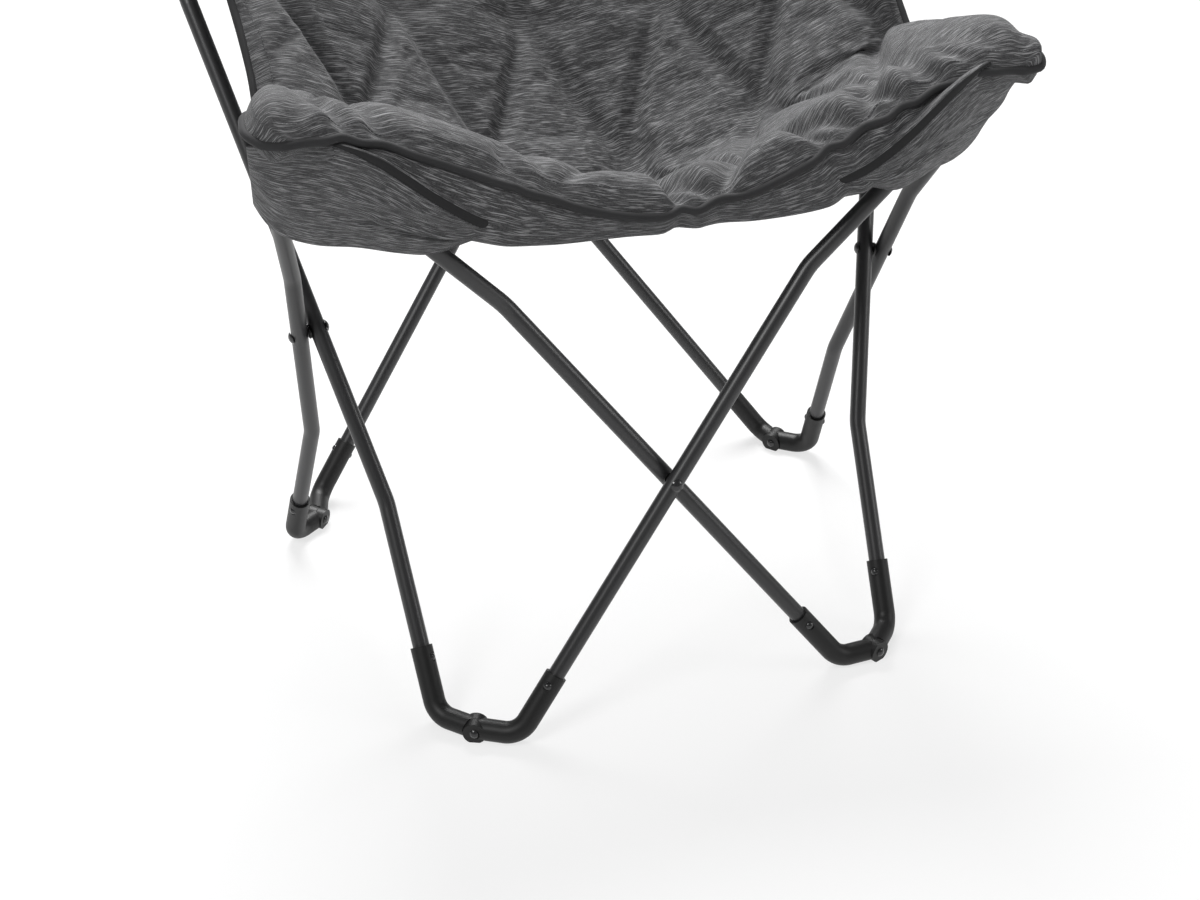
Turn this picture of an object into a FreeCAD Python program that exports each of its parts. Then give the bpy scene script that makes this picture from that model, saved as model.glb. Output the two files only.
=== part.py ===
import FreeCAD
import Part
import math
import os

# Folding butterfly chair: eight bent steel tubes in four crossed pairs, hinged in pairs at four feet,
# carry a padded seat cover by four corner pockets. Millimetres, +Z up, the front faces -Y, and left and
# right are as seen from the front, so left is -X. The left half is drawn, the right half mirrors it, and a
# leg is named for the side of its foot.

V = FreeCAD.Vector

# Tube stock and hardware
TUBE_RADIUS = 9.5
TUBE_WALL = 1.2
BEND_RADIUS = 70.0
PIVOT_OFFSET = 11.0         # tube axis to the middle of a crossing
PIVOT_RIVET_RADIUS = 3.0
PIVOT_HEAD_RADIUS = 7.0
PIVOT_HEAD_HEIGHT = 3.2
SPACER_RADIUS = 8.0
BACK_SPACER = 1.0           # thickness, with room for the back tubes to shift as the chair folds
BACK_SPACER_SHIFT = 0.6     # towards the left leg's tube
ELBOW_RIVET_RADIUS = 2.0
ELBOW_HEAD_RADIUS = 4.6
ELBOW_HEAD_HEIGHT = 2.6
PIN_RADIUS = 2.5
PIN_HEAD_RADIUS = 5.6
PIN_HEAD_HEIGHT = 3.0
RUNNING_CLEARANCE = 0.05    # radial, a shaft in its hole
FACE_GAP = 0.4              # between faces that slide past each other

# Moulded foot elbow
ELBOW_RADIUS = 12.5
ELBOW_BEND = 28.0
SOCKET_MOUTH = 78.0         # from the elbow's corner, along the tube
SOCKET_FLOOR = 32.0
SOCKET_FIT = 0.1
ELBOW_RIVET_INSET = 14.0
SPOT_FACE = 1.0             # depth of the flat under a rivet head
KNUCKLE_RADIUS = 13.1
KNUCKLE_FACE = 11.0         # hinge plane to the outer face of a knuckle
KNUCKLE_ROOM = 0.8          # round the other half's knuckle
SOLE_FLAT = 0.5             # depth of the flat that a foot stands on
FOOT_HEIGHT = ELBOW_RADIUS - SOLE_FLAT

# Places on the left half of the frame
FRONT_FOOT = V(-240.6, -365.5, FOOT_HEIGHT)
BACK_FOOT = V(-316.1, 124.5, FOOT_HEIGHT)
FRONT_PIVOT = V(0, -325.7, 263.8)
SIDE_PIVOT = V(-344.3, -83.3, 384.5)
BACK_PIVOT = V(0, 289.1, 428.8)
FRONT_CORNER = V(-420.0, -308.5, 742.8)     # where the tubes' lines meet in the front pocket
BACK_CORNER = V(-420.0, 341.5, 947.8)
FRONT_PIN_AXIS = V(-0.410, -0.912, -0.023)
BACK_PIN_AXIS = V(-0.782, 0.613, 0.114)

# Directions of the tubes, upwards, and distances of their bends from the pivots
FRONT_TUBE_RUN = V(0.605, 0.168, 0.778)
FRONT_TUBE_BEND = 277.5
SIDE_TUBE_RUN = V(-0.214, 0.495, 0.842)
SIDE_TUBE_FOOT_RUN = V(-0.059, 0.582, 0.811)
SIDE_TUBE_LOW_BEND = 209.5
SIDE_TUBE_HIGH_BEND = 395.7
ARM_TUBE_RUN = V(-0.099, -0.415, 0.904)
ARM_TUBE_FOOT_RUN = V(0.068, -0.453, 0.889)
ARM_TUBE_LOW_BEND = 185.1
ARM_TUBE_HIGH_BEND = 100.0
BACK_TUBE_RUN = V(0.573, 0.230, 0.782)
BACK_TUBE_BEND = 406.6
FRONT_TUBE_SETBACK = 140.0  # tube end to the corner
ARM_TUBE_SETBACK = 110.0
SIDE_TUBE_SETBACK = 70.0
BACK_TUBE_SETBACK = 70.0
CAP_FLANGE = 3.0
CAP_PLUG = 14.0

# Padded seat cover: stations from the front edge to the crease and from the crease to the top edge.
# Each is (y, z of the underside on the centre line, lean of the section in degrees, half width,
# rise at the sides, pad height at the sewn channels, pad height at the puffs)
SEAT_STATIONS = [
    (-323.0, 581.0, 2.0, 400.0, 125.0, 12.0, 15.0),
    (-279.0, 568.0, 4.0, 398.0, 138.0, 34.0, 50.0),
    (-214.0, 528.0, 8.0, 390.0, 144.0, 22.0, 30.0),
    (-149.0, 493.0, 8.0, 380.0, 150.0, 32.0, 50.0),
    (-84.0, 476.0, 0.0, 372.0, 155.0, 20.0, 26.0),
]
BACK_STATIONS = [
    (-84.0, 476.0, 0.0, 372.0, 155.0, 20.0, 26.0),
    (-9.0, 503.0, -14.0, 368.0, 155.0, 32.0, 50.0),
    (66.0, 568.0, -24.0, 370.0, 145.0, 20.0, 28.0),
    (136.0, 648.0, -27.0, 378.0, 130.0, 32.0, 48.0),
    (206.0, 733.0, -26.0, 388.0, 115.0, 20.0, 28.0),
    (266.0, 810.0, -22.0, 398.0, 95.0, 32.0, 46.0),
    (308.0, 866.0, -16.0, 403.0, 80.0, 12.0, 15.0),
]
PUFFS_ACROSS = 6
UNDERSIDE_BULGE = 3.0
CREASE_GAP = 0.8
PIPING_RADIUS = 4.5
PIPING_BEND = 60.0
PIPING_END_ROOM = 8.0       # from the crease

# Corner pocket: a flat fabric bag in the plane of the two tubes, measured back along them from the corner
POCKET_HALF = 14.5
POCKET_WALL = 3.0
POCKET_MARGIN = 20.0
POCKET_ROOM = 1.5           # round the pocket, in the padding
FRONT_POCKET = (118.0, 88.0, 250.0, 225.0)   # first tube's top, second tube's top, and their mouths
BACK_POCKET = (48.0, 48.0, 190.0, 190.0)
BINDING_RADIUS = 3.0

FLOOR_HALF = 600.0
MIRROR_X = V(1, 0, 0)
ORIGIN = V(0, 0, 0)
UP = V(0, 0, 1)


def unit(vector):
    """A copy of the vector with length one."""
    result = V(vector)
    result.normalize()
    return result


def mirrored(point):
    """The same place on the other side of the chair."""
    return V(-point.x, point.y, point.z)


def at_height(point, direction, height):
    """Where a line crosses a horizontal plane."""
    return point + direction * ((height - point.z) / direction.z)


def cylinder(base, axis, radius, length):
    return Part.makeCylinder(radius, length, base, axis)


def rounded_path(points, radius):
    """Straight runs joined by tangent arcs."""
    edges = []
    start = points[0]
    for before, corner, after in zip(points, points[1:], points[2:]):
        run_in = unit(corner - before)
        run_out = unit(after - corner)
        half_turn = run_in.getAngle(run_out) / 2
        room = 0.45 * min((corner - before).Length, (after - corner).Length)
        bend = min(radius, room / math.tan(half_turn))
        reach = bend * math.tan(half_turn)
        inward = unit(run_out - run_in)
        middle = corner + inward * (bend / math.cos(half_turn) - bend)
        arc_start = corner - run_in * reach
        arc_end = corner + run_out * reach
        edges.append(Part.LineSegment(start, arc_start).toShape())
        edges.append(Part.Arc(arc_start, middle, arc_end).toShape())
        start = arc_end
    edges.append(Part.LineSegment(start, points[-1]).toShape())
    return Part.Wire(edges)


def round_bar(points, bar_radius, bend_radius):
    """A solid round bar along rounded runs."""
    profile = Part.Wire([Part.makeCircle(bar_radius, points[0], points[1] - points[0])])
    return rounded_path(points, bend_radius).makePipeShell([profile], True, False)


def dome(base, axis, radius, height):
    """A domed rivet head standing on its flat face, cut from a ball."""
    ball_radius = (radius ** 2 + height ** 2) / (2 * height)
    low_latitude = math.degrees(math.asin((ball_radius - height) / ball_radius))
    return Part.makeSphere(ball_radius, base - axis * (ball_radius - height), axis, low_latitude, 90, 360)


def rivet(start, end, shank_radius, head_radius, head_height):
    """A shank between two domed heads, whose flat faces are at start and end."""
    axis = unit(end - start)
    shank = cylinder(start, axis, shank_radius, (end - start).Length)
    heads = [dome(end, axis, head_radius, head_height), dome(start, axis * -1, head_radius, head_height)]
    return shank.fuse(heads).removeSplitter()


def spacer(middle, axis, thickness):
    """A washer between two crossed tubes."""
    base = middle - axis * (thickness / 2)
    disc = cylinder(base, axis, SPACER_RADIUS, thickness)
    return disc.cut(cylinder(base, axis, PIVOT_RIVET_RADIUS + RUNNING_CLEARANCE, thickness))


def above_floor():
    """The room over the floor that the feet take up."""
    corner = V(-FLOOR_HALF, -FLOOR_HALF, 0)
    return Part.makeBox(2 * FLOOR_HALF, 2 * FLOOR_HALF, FLOOR_HALF, corner)


class Leg:
    """One bent tube with its foot elbow, elbow rivet and end cap."""

    def __init__(self, points, foot, pin_axis, pin_side, rivet_in_plane, pivot, pivot_axis):
        self.run = unit(points[1] - points[0])
        self.corner = at_height(points[0], self.run, FOOT_HEIGHT)
        self.points = [self.corner + self.run * SOCKET_FLOOR] + points[1:]
        self.foot = foot
        self.pin_axis = unit(pin_axis) * pin_side
        normal = unit((self.corner - foot).cross(self.run))
        self.rivet_axis = unit(normal.cross(self.run)) if rivet_in_plane else normal
        self.rivet_middle = self.corner + self.run * (SOCKET_MOUTH - ELBOW_RIVET_INSET)
        self.pivot = pivot
        self.pivot_axis = pivot_axis

    def rivet_hole(self):
        start = self.rivet_middle - self.rivet_axis * (2 * ELBOW_RADIUS)
        return cylinder(start, self.rivet_axis, ELBOW_RIVET_RADIUS + RUNNING_CLEARANCE, 4 * ELBOW_RADIUS)

    def tube(self):
        bore_radius = TUBE_RADIUS - TUBE_WALL
        bar = round_bar(self.points, TUBE_RADIUS, BEND_RADIUS)
        bore = round_bar(self.points, bore_radius, BEND_RADIUS)
        start = self.pivot - self.pivot_axis * (4 * TUBE_RADIUS)
        hole_radius = PIVOT_RIVET_RADIUS + RUNNING_CLEARANCE
        pivot_hole = cylinder(start, self.pivot_axis, hole_radius, 8 * TUBE_RADIUS)
        return bar.cut([bore, pivot_hole, self.rivet_hole()])

    def elbow(self):
        mouth = self.corner + self.run * SOCKET_MOUTH
        arm = round_bar([self.foot, self.corner, mouth], ELBOW_RADIUS, ELBOW_BEND)
        lap = self.foot + self.pin_axis * (FACE_GAP / 2)
        knuckle = cylinder(lap, self.pin_axis, KNUCKLE_RADIUS, KNUCKLE_FACE - FACE_GAP / 2)
        solid = arm.fuse(knuckle)
        reach = 4 * ELBOW_RADIUS
        other_half = cylinder(lap, self.pin_axis * -1, KNUCKLE_RADIUS + KNUCKLE_ROOM, reach)
        face = self.foot + self.pin_axis * KNUCKLE_FACE
        head_room = cylinder(face, self.pin_axis, PIN_HEAD_RADIUS + KNUCKLE_ROOM, reach)
        pin_hole = cylinder(lap, self.pin_axis, PIN_RADIUS + RUNNING_CLEARANCE, reach)
        socket_floor = self.corner + self.run * SOCKET_FLOOR
        socket = cylinder(socket_floor, self.run, TUBE_RADIUS + SOCKET_FIT, reach)
        spots = [cylinder(self.rivet_middle + side * (ELBOW_RADIUS - SPOT_FACE), side,
                          ELBOW_HEAD_RADIUS + SPOT_FACE, reach)
                 for side in (self.rivet_axis, self.rivet_axis * -1)]
        cuts = [other_half, head_room, pin_hole, socket, self.rivet_hole()] + spots
        return solid.common(above_floor()).cut(cuts)

    def elbow_rivet(self):
        reach = self.rivet_axis * (ELBOW_RADIUS - SPOT_FACE)
        return rivet(self.rivet_middle - reach, self.rivet_middle + reach,
                     ELBOW_RIVET_RADIUS, ELBOW_HEAD_RADIUS, ELBOW_HEAD_HEIGHT)

    def end_cap(self):
        end = self.points[-1]
        outward = unit(end - self.points[-2])
        plug_radius = TUBE_RADIUS - TUBE_WALL - SOCKET_FIT
        flange = cylinder(end, outward, TUBE_RADIUS, CAP_FLANGE)
        plug = cylinder(end - outward * CAP_PLUG, outward, plug_radius, CAP_PLUG)
        crown = dome(end + outward * CAP_FLANGE, outward, TUBE_RADIUS, CAP_FLANGE)
        return flange.fuse([plug, crown]).removeSplitter()


def pulled_back(end, start, setback):
    """The end of a run, drawn back towards its start."""
    return end - unit(end - start) * setback


def front_axis():
    """The front rivet's axis, square to both front tubes and pointing to the back."""
    run = unit(FRONT_TUBE_RUN)
    return unit(mirrored(run).cross(run))


def side_axis():
    """The left rivet's axis, square to both tubes of the left pair and pointing inwards."""
    return unit(unit(SIDE_TUBE_RUN).cross(unit(ARM_TUBE_RUN)))


def back_axis():
    """The back rivet's axis, square to both back tubes and pointing to the back."""
    run = unit(BACK_TUBE_RUN)
    return unit(mirrored(run).cross(run))


def front_leg(layer):
    """From the left front foot to the right front corner, one layer in front of its twin or behind it."""
    run = unit(FRONT_TUBE_RUN)
    pivot = FRONT_PIVOT + front_axis() * (layer * PIVOT_OFFSET)
    bend = pivot + run * FRONT_TUBE_BEND
    tip = pulled_back(mirrored(FRONT_CORNER), bend, FRONT_TUBE_SETBACK)
    return Leg([pivot, bend, tip], FRONT_FOOT, FRONT_PIN_AXIS, 1, False, pivot, front_axis())


def side_leg():
    """From the left front foot to the left back corner, on the inner side of the crossing."""
    run = unit(SIDE_TUBE_RUN)
    pivot = SIDE_PIVOT + side_axis() * PIVOT_OFFSET
    low = pivot - run * SIDE_TUBE_LOW_BEND
    high = pivot + run * SIDE_TUBE_HIGH_BEND
    tip = pulled_back(BACK_CORNER, high, SIDE_TUBE_SETBACK)
    foot_end = at_height(low, unit(SIDE_TUBE_FOOT_RUN), FOOT_HEIGHT)
    return Leg([foot_end, low, high, tip], FRONT_FOOT, FRONT_PIN_AXIS, -1, True, pivot, side_axis())


def arm_leg():
    """From the left back foot to the left front corner, on the outer side of the crossing."""
    run = unit(ARM_TUBE_RUN)
    pivot = SIDE_PIVOT - side_axis() * PIVOT_OFFSET
    low = pivot - run * ARM_TUBE_LOW_BEND
    high = pivot + run * ARM_TUBE_HIGH_BEND
    tip = pulled_back(FRONT_CORNER, high, ARM_TUBE_SETBACK)
    foot_end = at_height(low, unit(ARM_TUBE_FOOT_RUN), FOOT_HEIGHT)
    return Leg([foot_end, low, high, tip], BACK_FOOT, BACK_PIN_AXIS, 1, True, pivot, side_axis())


def back_leg(layer):
    """From the left back foot to the right back corner."""
    run = unit(BACK_TUBE_RUN)
    pivot = BACK_PIVOT + back_axis() * (layer * PIVOT_OFFSET)
    bend = pivot + run * BACK_TUBE_BEND
    tip = pulled_back(mirrored(BACK_CORNER), bend, BACK_TUBE_SETBACK)
    return Leg([pivot, bend, tip], BACK_FOOT, BACK_PIN_AXIS, -1, False, pivot, back_axis())


def foot_pin(foot, axis):
    """The hinge pin of two elbows, with a head on each knuckle's outer face."""
    reach = unit(axis) * (KNUCKLE_FACE + FACE_GAP)
    return rivet(foot - reach, foot + reach, PIN_RADIUS, PIN_HEAD_RADIUS, PIN_HEAD_HEIGHT)


def pivot_rivet(middle, axis):
    """The rivet through a crossing of two tubes."""
    reach = axis * (PIVOT_OFFSET + TUBE_RADIUS + FACE_GAP)
    return rivet(middle - reach, middle + reach, PIVOT_RIVET_RADIUS, PIVOT_HEAD_RADIUS, PIVOT_HEAD_HEIGHT)


def half_pivot_rivet(middle, axis):
    """One tube's half of the back rivet: a head outside the tube and a shank through it."""
    start = middle + axis * (PIVOT_OFFSET - TUBE_RADIUS)
    end = middle + axis * (PIVOT_OFFSET + TUBE_RADIUS + FACE_GAP)
    shank = cylinder(start, axis, PIVOT_RIVET_RADIUS, (end - start).Length)
    return shank.fuse(dome(end, axis, PIVOT_HEAD_RADIUS, PIVOT_HEAD_HEIGHT)).removeSplitter()


class Section:
    """One cross section of the padded cover, an arc across the chair with a puffed top."""

    def __init__(self, station, shift=0.0):
        y, z, lean, self.half_width, rise, self.seam, self.puff = station
        lean = math.radians(lean)
        self.up = V(0, math.sin(lean), math.cos(lean))
        along = V(0, math.cos(lean), -math.sin(lean))
        self.centre = V(0, y, z) + along * shift
        self.radius = (self.half_width ** 2 + rise ** 2) / (2 * rise)

    def at(self, x, height):
        """A point over the underside's arc."""
        sag = self.radius - math.sqrt(self.radius ** 2 - x ** 2)
        return self.centre + V(x, 0, 0) + self.up * (sag + height)

    def edge(self, side):
        return self.at(side * self.half_width, self.seam / 2)

    def outline(self):
        step = 2 * self.half_width / PUFFS_ACROSS
        seams = [-self.half_width + step * i for i in range(PUFFS_ACROSS + 1)]
        top = []
        bottom = []
        for left, right in zip(seams, seams[1:]):
            middle = (left + right) / 2
            top.append(Part.Arc(self.at(left, self.seam), self.at(middle, self.puff),
                                self.at(right, self.seam)).toShape())
            bottom.append(Part.Arc(self.at(left, 0), self.at(middle, -UNDERSIDE_BULGE),
                                   self.at(right, 0)).toShape())
        right_end = Part.LineSegment(self.at(seams[-1], self.seam), self.at(seams[-1], 0)).toShape()
        left_end = Part.LineSegment(self.at(seams[0], 0), self.at(seams[0], self.seam)).toShape()
        return Part.Wire(top + [right_end] + bottom[::-1] + [left_end])


def sections(stations, first_shift, last_shift):
    """The stations as sections, with the first and last drawn in from the crease."""
    last = len(stations) - 1
    shifts = {0: first_shift, last: last_shift}
    return [Section(station, shifts.get(i, 0.0)) for i, station in enumerate(stations)]


def pad(parts):
    """The padded panel through its sections."""
    return Part.makeLoft([section.outline() for section in parts], True, True)


def piping(side_parts, end_part):
    """The corded edge of a panel: up its left side, across its end and down its right side."""
    sides = [[section.edge(side) for section in side_parts] for side in (-1, 1)]
    for points in sides:
        points[0] = points[0] + unit(points[1] - points[0]) * PIPING_END_ROOM
    across = [end_part.at(end_part.half_width * share, end_part.seam / 2) for share in (-0.5, 0.0, 0.5)]
    return round_bar(sides[0] + across + sides[1][::-1], PIPING_RADIUS, PIPING_BEND)


class Pocket:
    """The flat fabric bag that holds the ends of two tubes at one corner."""

    def __init__(self, corner, first_run, second_run, reaches):
        self.corner = corner
        self.first = first_run
        self.second = second_run
        self.normal = unit(first_run.cross(second_run))
        self.first_top, self.second_top, self.first_mouth, self.second_mouth = reaches

    def at(self, first, second):
        """A place in the bag's plane, measured back from the corner along the two tubes."""
        return self.corner - self.first * first - self.second * second

    def slab(self, outline, half):
        corners = [self.at(first, second) - self.normal * half for first, second in outline]
        face = Part.Face(Part.makePolygon(corners + corners[:1]))
        return face.extrude(self.normal * (2 * half))

    def outline(self, inset, first_mouth, second_mouth):
        """The bag's four corners, drawn in from its edges, with its mouth where it is asked for."""
        edge = inset - POCKET_MARGIN
        return [(self.first_top + inset, edge), (edge, self.second_top + inset),
                (edge, second_mouth), (first_mouth, edge)]

    def bag(self):
        longer = 2 * max(self.first_mouth, self.second_mouth)
        shell = self.slab(self.outline(0, self.first_mouth, self.second_mouth), POCKET_HALF)
        return shell.cut(self.slab(self.outline(POCKET_WALL, longer, longer), POCKET_HALF - POCKET_WALL))

    def room(self):
        """The space that the pocket presses into the padding."""
        mouths = (self.first_mouth + POCKET_ROOM, self.second_mouth + POCKET_ROOM)
        return self.slab(self.outline(-POCKET_ROOM, *mouths), POCKET_HALF + POCKET_ROOM)

    def binding(self):
        """The bound edge beside the first tube, on the pocket's outer face."""
        outward = self.normal * -(POCKET_HALF + BINDING_RADIUS)
        top = self.at(self.first_top, -POCKET_MARGIN) + outward
        mouth = self.at(self.first_mouth, -POCKET_MARGIN) + outward
        return cylinder(top, unit(mouth - top), BINDING_RADIUS, (mouth - top).Length)


def end_run(leg):
    """The direction of a tube's last run."""
    return unit(leg.points[-1] - leg.points[-2])


def both_sides(name, left, right):
    """The left shape, and the right one drawn on the left and mirrored."""
    return {name + "_left": left, name + "_right": right.mirror(ORIGIN, MIRROR_X)}


def build():
    """Every piece of the chair by name."""
    pieces = {}
    legs = {
        "front": (front_leg(-1), front_leg(1)),
        "side": (side_leg(), side_leg()),
        "arm": (arm_leg(), arm_leg()),
        "back": (back_leg(1), back_leg(-1)),
    }
    for name, (left, right) in legs.items():
        pieces.update(both_sides(name + "_tube", left.tube(), right.tube()))
        pieces.update(both_sides(name + "_elbow", left.elbow(), right.elbow()))
        pieces.update(both_sides(name + "_elbow_rivet", left.elbow_rivet(), right.elbow_rivet()))
        pieces.update(both_sides(name + "_end_cap", left.end_cap(), right.end_cap()))

    front_pin = foot_pin(FRONT_FOOT, FRONT_PIN_AXIS)
    back_pin = foot_pin(BACK_FOOT, BACK_PIN_AXIS)
    pieces.update(both_sides("front_foot_pin", front_pin, front_pin))
    pieces.update(both_sides("back_foot_pin", back_pin, back_pin))

    washer = 2 * (PIVOT_OFFSET - TUBE_RADIUS - FACE_GAP)
    pieces["front_pivot_rivet"] = pivot_rivet(FRONT_PIVOT, front_axis())
    pieces["front_pivot_spacer"] = spacer(FRONT_PIVOT, front_axis(), washer)
    side_rivet = pivot_rivet(SIDE_PIVOT, side_axis())
    side_spacer = spacer(SIDE_PIVOT, side_axis(), washer)
    pieces.update(both_sides("side_pivot_rivet", side_rivet, side_rivet))
    pieces.update(both_sides("side_pivot_spacer", side_spacer, side_spacer))
    back_spacer_middle = BACK_PIVOT + back_axis() * BACK_SPACER_SHIFT
    pieces["back_pivot_spacer"] = spacer(back_spacer_middle, back_axis(), BACK_SPACER)
    pieces["back_pivot_rivet_left"] = half_pivot_rivet(BACK_PIVOT, back_axis())
    pieces["back_pivot_rivet_right"] = half_pivot_rivet(BACK_PIVOT, back_axis() * -1)

    pocket_rooms = []
    for name, corner, crossing, side, reaches in (
            ("front_pocket", FRONT_CORNER, "front", "arm", FRONT_POCKET),
            ("back_pocket", BACK_CORNER, "back", "side", BACK_POCKET)):
        side_run = end_run(legs[side][0])
        right, left = (Pocket(corner, mirrored(end_run(leg)), side_run, reaches) for leg in legs[crossing])
        pieces.update(both_sides(name, left.bag(), right.bag()))
        pieces.update(both_sides(name + "_binding", left.binding(), right.binding()))
        pocket_rooms += both_sides(name, left.room(), right.room()).values()

    seat = sections(SEAT_STATIONS, 0.0, -CREASE_GAP / 2)
    back = sections(BACK_STATIONS, CREASE_GAP / 2, 0.0)
    pieces["seat_pad"] = pad(seat).cut(pocket_rooms)
    pieces["back_pad"] = pad(back).cut(pocket_rooms)
    pieces["seat_piping"] = piping(seat[::-1], seat[0])
    pieces["back_piping"] = piping(back, back[-1])
    return pieces


def main():
    os.makedirs("parts", exist_ok=True)
    for name, shape in build().items():
        print(name, "valid" if shape.isValid() else "NOT VALID", len(shape.Solids), round(shape.Volume))
        shape.exportStep("parts/%s.step" % name)


if __name__ == "__main__":
    main()
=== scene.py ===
from collections import namedtuple

import bpy
import numpy as np
from bpy.props import FloatProperty, FloatVectorProperty, IntProperty, PointerProperty
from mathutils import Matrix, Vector


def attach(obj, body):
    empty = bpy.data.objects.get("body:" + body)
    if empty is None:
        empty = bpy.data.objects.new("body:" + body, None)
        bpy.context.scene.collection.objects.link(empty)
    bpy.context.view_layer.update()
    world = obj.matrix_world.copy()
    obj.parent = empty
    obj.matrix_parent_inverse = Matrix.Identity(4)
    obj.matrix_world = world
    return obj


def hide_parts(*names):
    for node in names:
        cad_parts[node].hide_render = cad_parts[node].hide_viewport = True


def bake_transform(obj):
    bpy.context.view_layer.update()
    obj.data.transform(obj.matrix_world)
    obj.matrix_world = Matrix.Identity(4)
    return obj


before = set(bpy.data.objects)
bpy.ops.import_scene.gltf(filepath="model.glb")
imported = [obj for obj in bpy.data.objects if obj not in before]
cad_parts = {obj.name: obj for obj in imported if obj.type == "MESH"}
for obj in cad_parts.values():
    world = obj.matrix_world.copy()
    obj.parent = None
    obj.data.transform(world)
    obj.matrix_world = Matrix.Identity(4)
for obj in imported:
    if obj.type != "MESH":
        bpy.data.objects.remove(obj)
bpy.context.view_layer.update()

bl_info = {
    "name": "Butterfly Chair",
    "version": (1, 0, 0),
    "blender": (4, 5, 0),
    "location": "3D View > Sidebar > Chair",
    "description": "Finishes a folding tube chair and sews its quilted sling cover",
    "category": "Object",
}

MIRROR = np.array((-1.0, 1.0, 1.0))
SIDES = ("left", "right")
# The four edges of a grid of points
RIM = (np.s_[0], np.s_[-1], np.s_[:, 0], np.s_[:, -1])

# One place along the sling's middle line: metres, with the lean of its sides in degrees
Station = namedtuple("Station", "y z lean half_width rise")
SLING = (
    Station(-0.323, 0.578, 2, 0.428, 0.124),
    Station(-0.282, 0.574, 4, 0.424, 0.133),
    Station(-0.214, 0.538, 8, 0.410, 0.146),
    Station(-0.149, 0.512, 8, 0.394, 0.150),
    Station(-0.084, 0.490, 0, 0.382, 0.155),
    Station(-0.012, 0.519, -14, 0.378, 0.155),
    Station(0.060, 0.581, -24, 0.380, 0.145),
    Station(0.130, 0.663, -27, 0.388, 0.130),
    Station(0.200, 0.748, -26, 0.400, 0.115),
    Station(0.260, 0.825, -17, 0.412, 0.095),
    Station(0.306, 0.878, 9, 0.420, 0.080),
)
CREASE = 4                  # the station at the crease
SAG_POWER = 1.5             # curve of the sag across the back
FRONT_TILT = 0.008          # the front edge's right end is lower and its left end higher by this
CORNER_DROOP = 0.07
CORNER_RADIUS = 0.035
# Pinches of the front edge: place across the cover, and how hard the thread pulls there
FRONT_PINCHES = ((-0.405, 0.45), (-0.318, 0.60), (-0.135, 0.30), (0.052, 1.0), (0.222, 0.85), (0.310, 0.65),
                 (0.400, 0.45))
# Notch of the edge roll beside each pinch: where it starts, its run and its half width
NOTCH_START = 0.008
NOTCH_LENGTH = 0.075
NOTCH_SLANT = 0.018
NOTCH_SHIFT = 0.042         # the roll folds in to the left of each pinch of its piping
NOTCH_SPREAD = 0.012
# How far a pinch draws the rim in and up, and how soon that fades
PINCH_BACK = 0.010
PINCH_UP = 0.006
PINCH_FADE = 0.02
# How far the curve of the edge roll reaches in from the piping, above and below
TOP_REACH = 0.036
UNDER_REACH = 0.016
# Tufts and the quilting creases between them: half widths, and how deep the thread draws the padding in
EDGE_ROW = 0.105
TUFT_SPREAD = 0.028
TUFT_DEPTH = 0.92
EDGE_TUFT_SPREAD = 0.019
EDGE_TUFT_SHARE = 0.65
CREASE_SPREAD = 0.015
CREASE_DEPTH = 0.64
CREASE_REACH = 0.62         # share of the pitch within which two tufts are joined
# How many points of the finished cover lie between its rim and the stitches
SEAM_POINTS = 4
# Length of the cover above the crease that bends when the chair folds, and how far its sides stand above
# its middle
BEND_LENGTH = 0.15
BEND_SIDE_RISE = 0.075

# Folds of a pocket's outer sheet: start and end as shares across and up it, height in metres, and width
# as a share
POCKET_FOLDS = (
    ((0.16, 0.50), (0.48, 0.46), 0.0060, 0.045),
    ((0.20, 0.34), (0.50, 0.38), -0.0050, 0.050),
    ((0.34, 0.78), (0.62, 0.60), 0.0032, 0.050),
    ((0.55, 0.30), (0.92, 0.42), 0.0030, 0.060),
    ((0.60, 0.80), (0.95, 0.72), -0.0026, 0.060),
)
# A corner pocket of the left side: its mouth and its upper edge run the same way, from the inner end
# to the outer
PocketCut = namedtuple("PocketCut", "mouth upper tubes outward depth bound flat")
FRONT_POCKET = PocketCut(
    mouth=((-0.178, -0.320, 0.593), (-0.212, -0.314, 0.589), (-0.243, -0.302, 0.578), (-0.278, -0.281, 0.575),
           (-0.315, -0.256, 0.575), (-0.352, -0.229, 0.573), (-0.388, -0.211, 0.581), (-0.412, -0.212, 0.604)),
    upper=((-0.178, -0.320, 0.593), (-0.208, -0.331, 0.611), (-0.234, -0.335, 0.630), (-0.258, -0.336, 0.649),
           (-0.282, -0.335, 0.669), (-0.307, -0.332, 0.688), (-0.350, -0.314, 0.701), (-0.426, -0.292, 0.698)),
    tubes=(((-0.3242, -0.2932, 0.6419), (-0.6846, -0.1091, 0.7207)),
           ((-0.4017, -0.2478, 0.6529), (-0.1668, -0.5519, 0.8170))),
    outward=(-0.4777, -0.6797, -0.5566), depth=0.017, bound="upper", flat=(0.25, 0.121),
)
BACK_POCKET = PocketCut(
    mouth=((-0.268, 0.388, 0.812), (-0.300, 0.372, 0.806), (-0.345, 0.330, 0.800), (-0.390, 0.262, 0.800),
           (-0.424, 0.212, 0.808), (-0.432, 0.186, 0.822)),
    upper=((-0.296, 0.352, 0.886), (-0.335, 0.347, 0.919), (-0.376, 0.335, 0.944), (-0.412, 0.316, 0.948),
           (-0.430, 0.290, 0.930), (-0.434, 0.262, 0.896)),
    tubes=(((-0.3730, 0.3530, 0.8970), (-0.6770, -0.1700, 0.7270)),
           ((-0.4196, 0.2920, 0.8980), (-0.0060, 0.7060, 0.7090))),
    outward=(-0.6280, 0.4760, -0.4700), depth=0.016, bound="mouth", flat=(0.24, 0.124),
)
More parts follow.
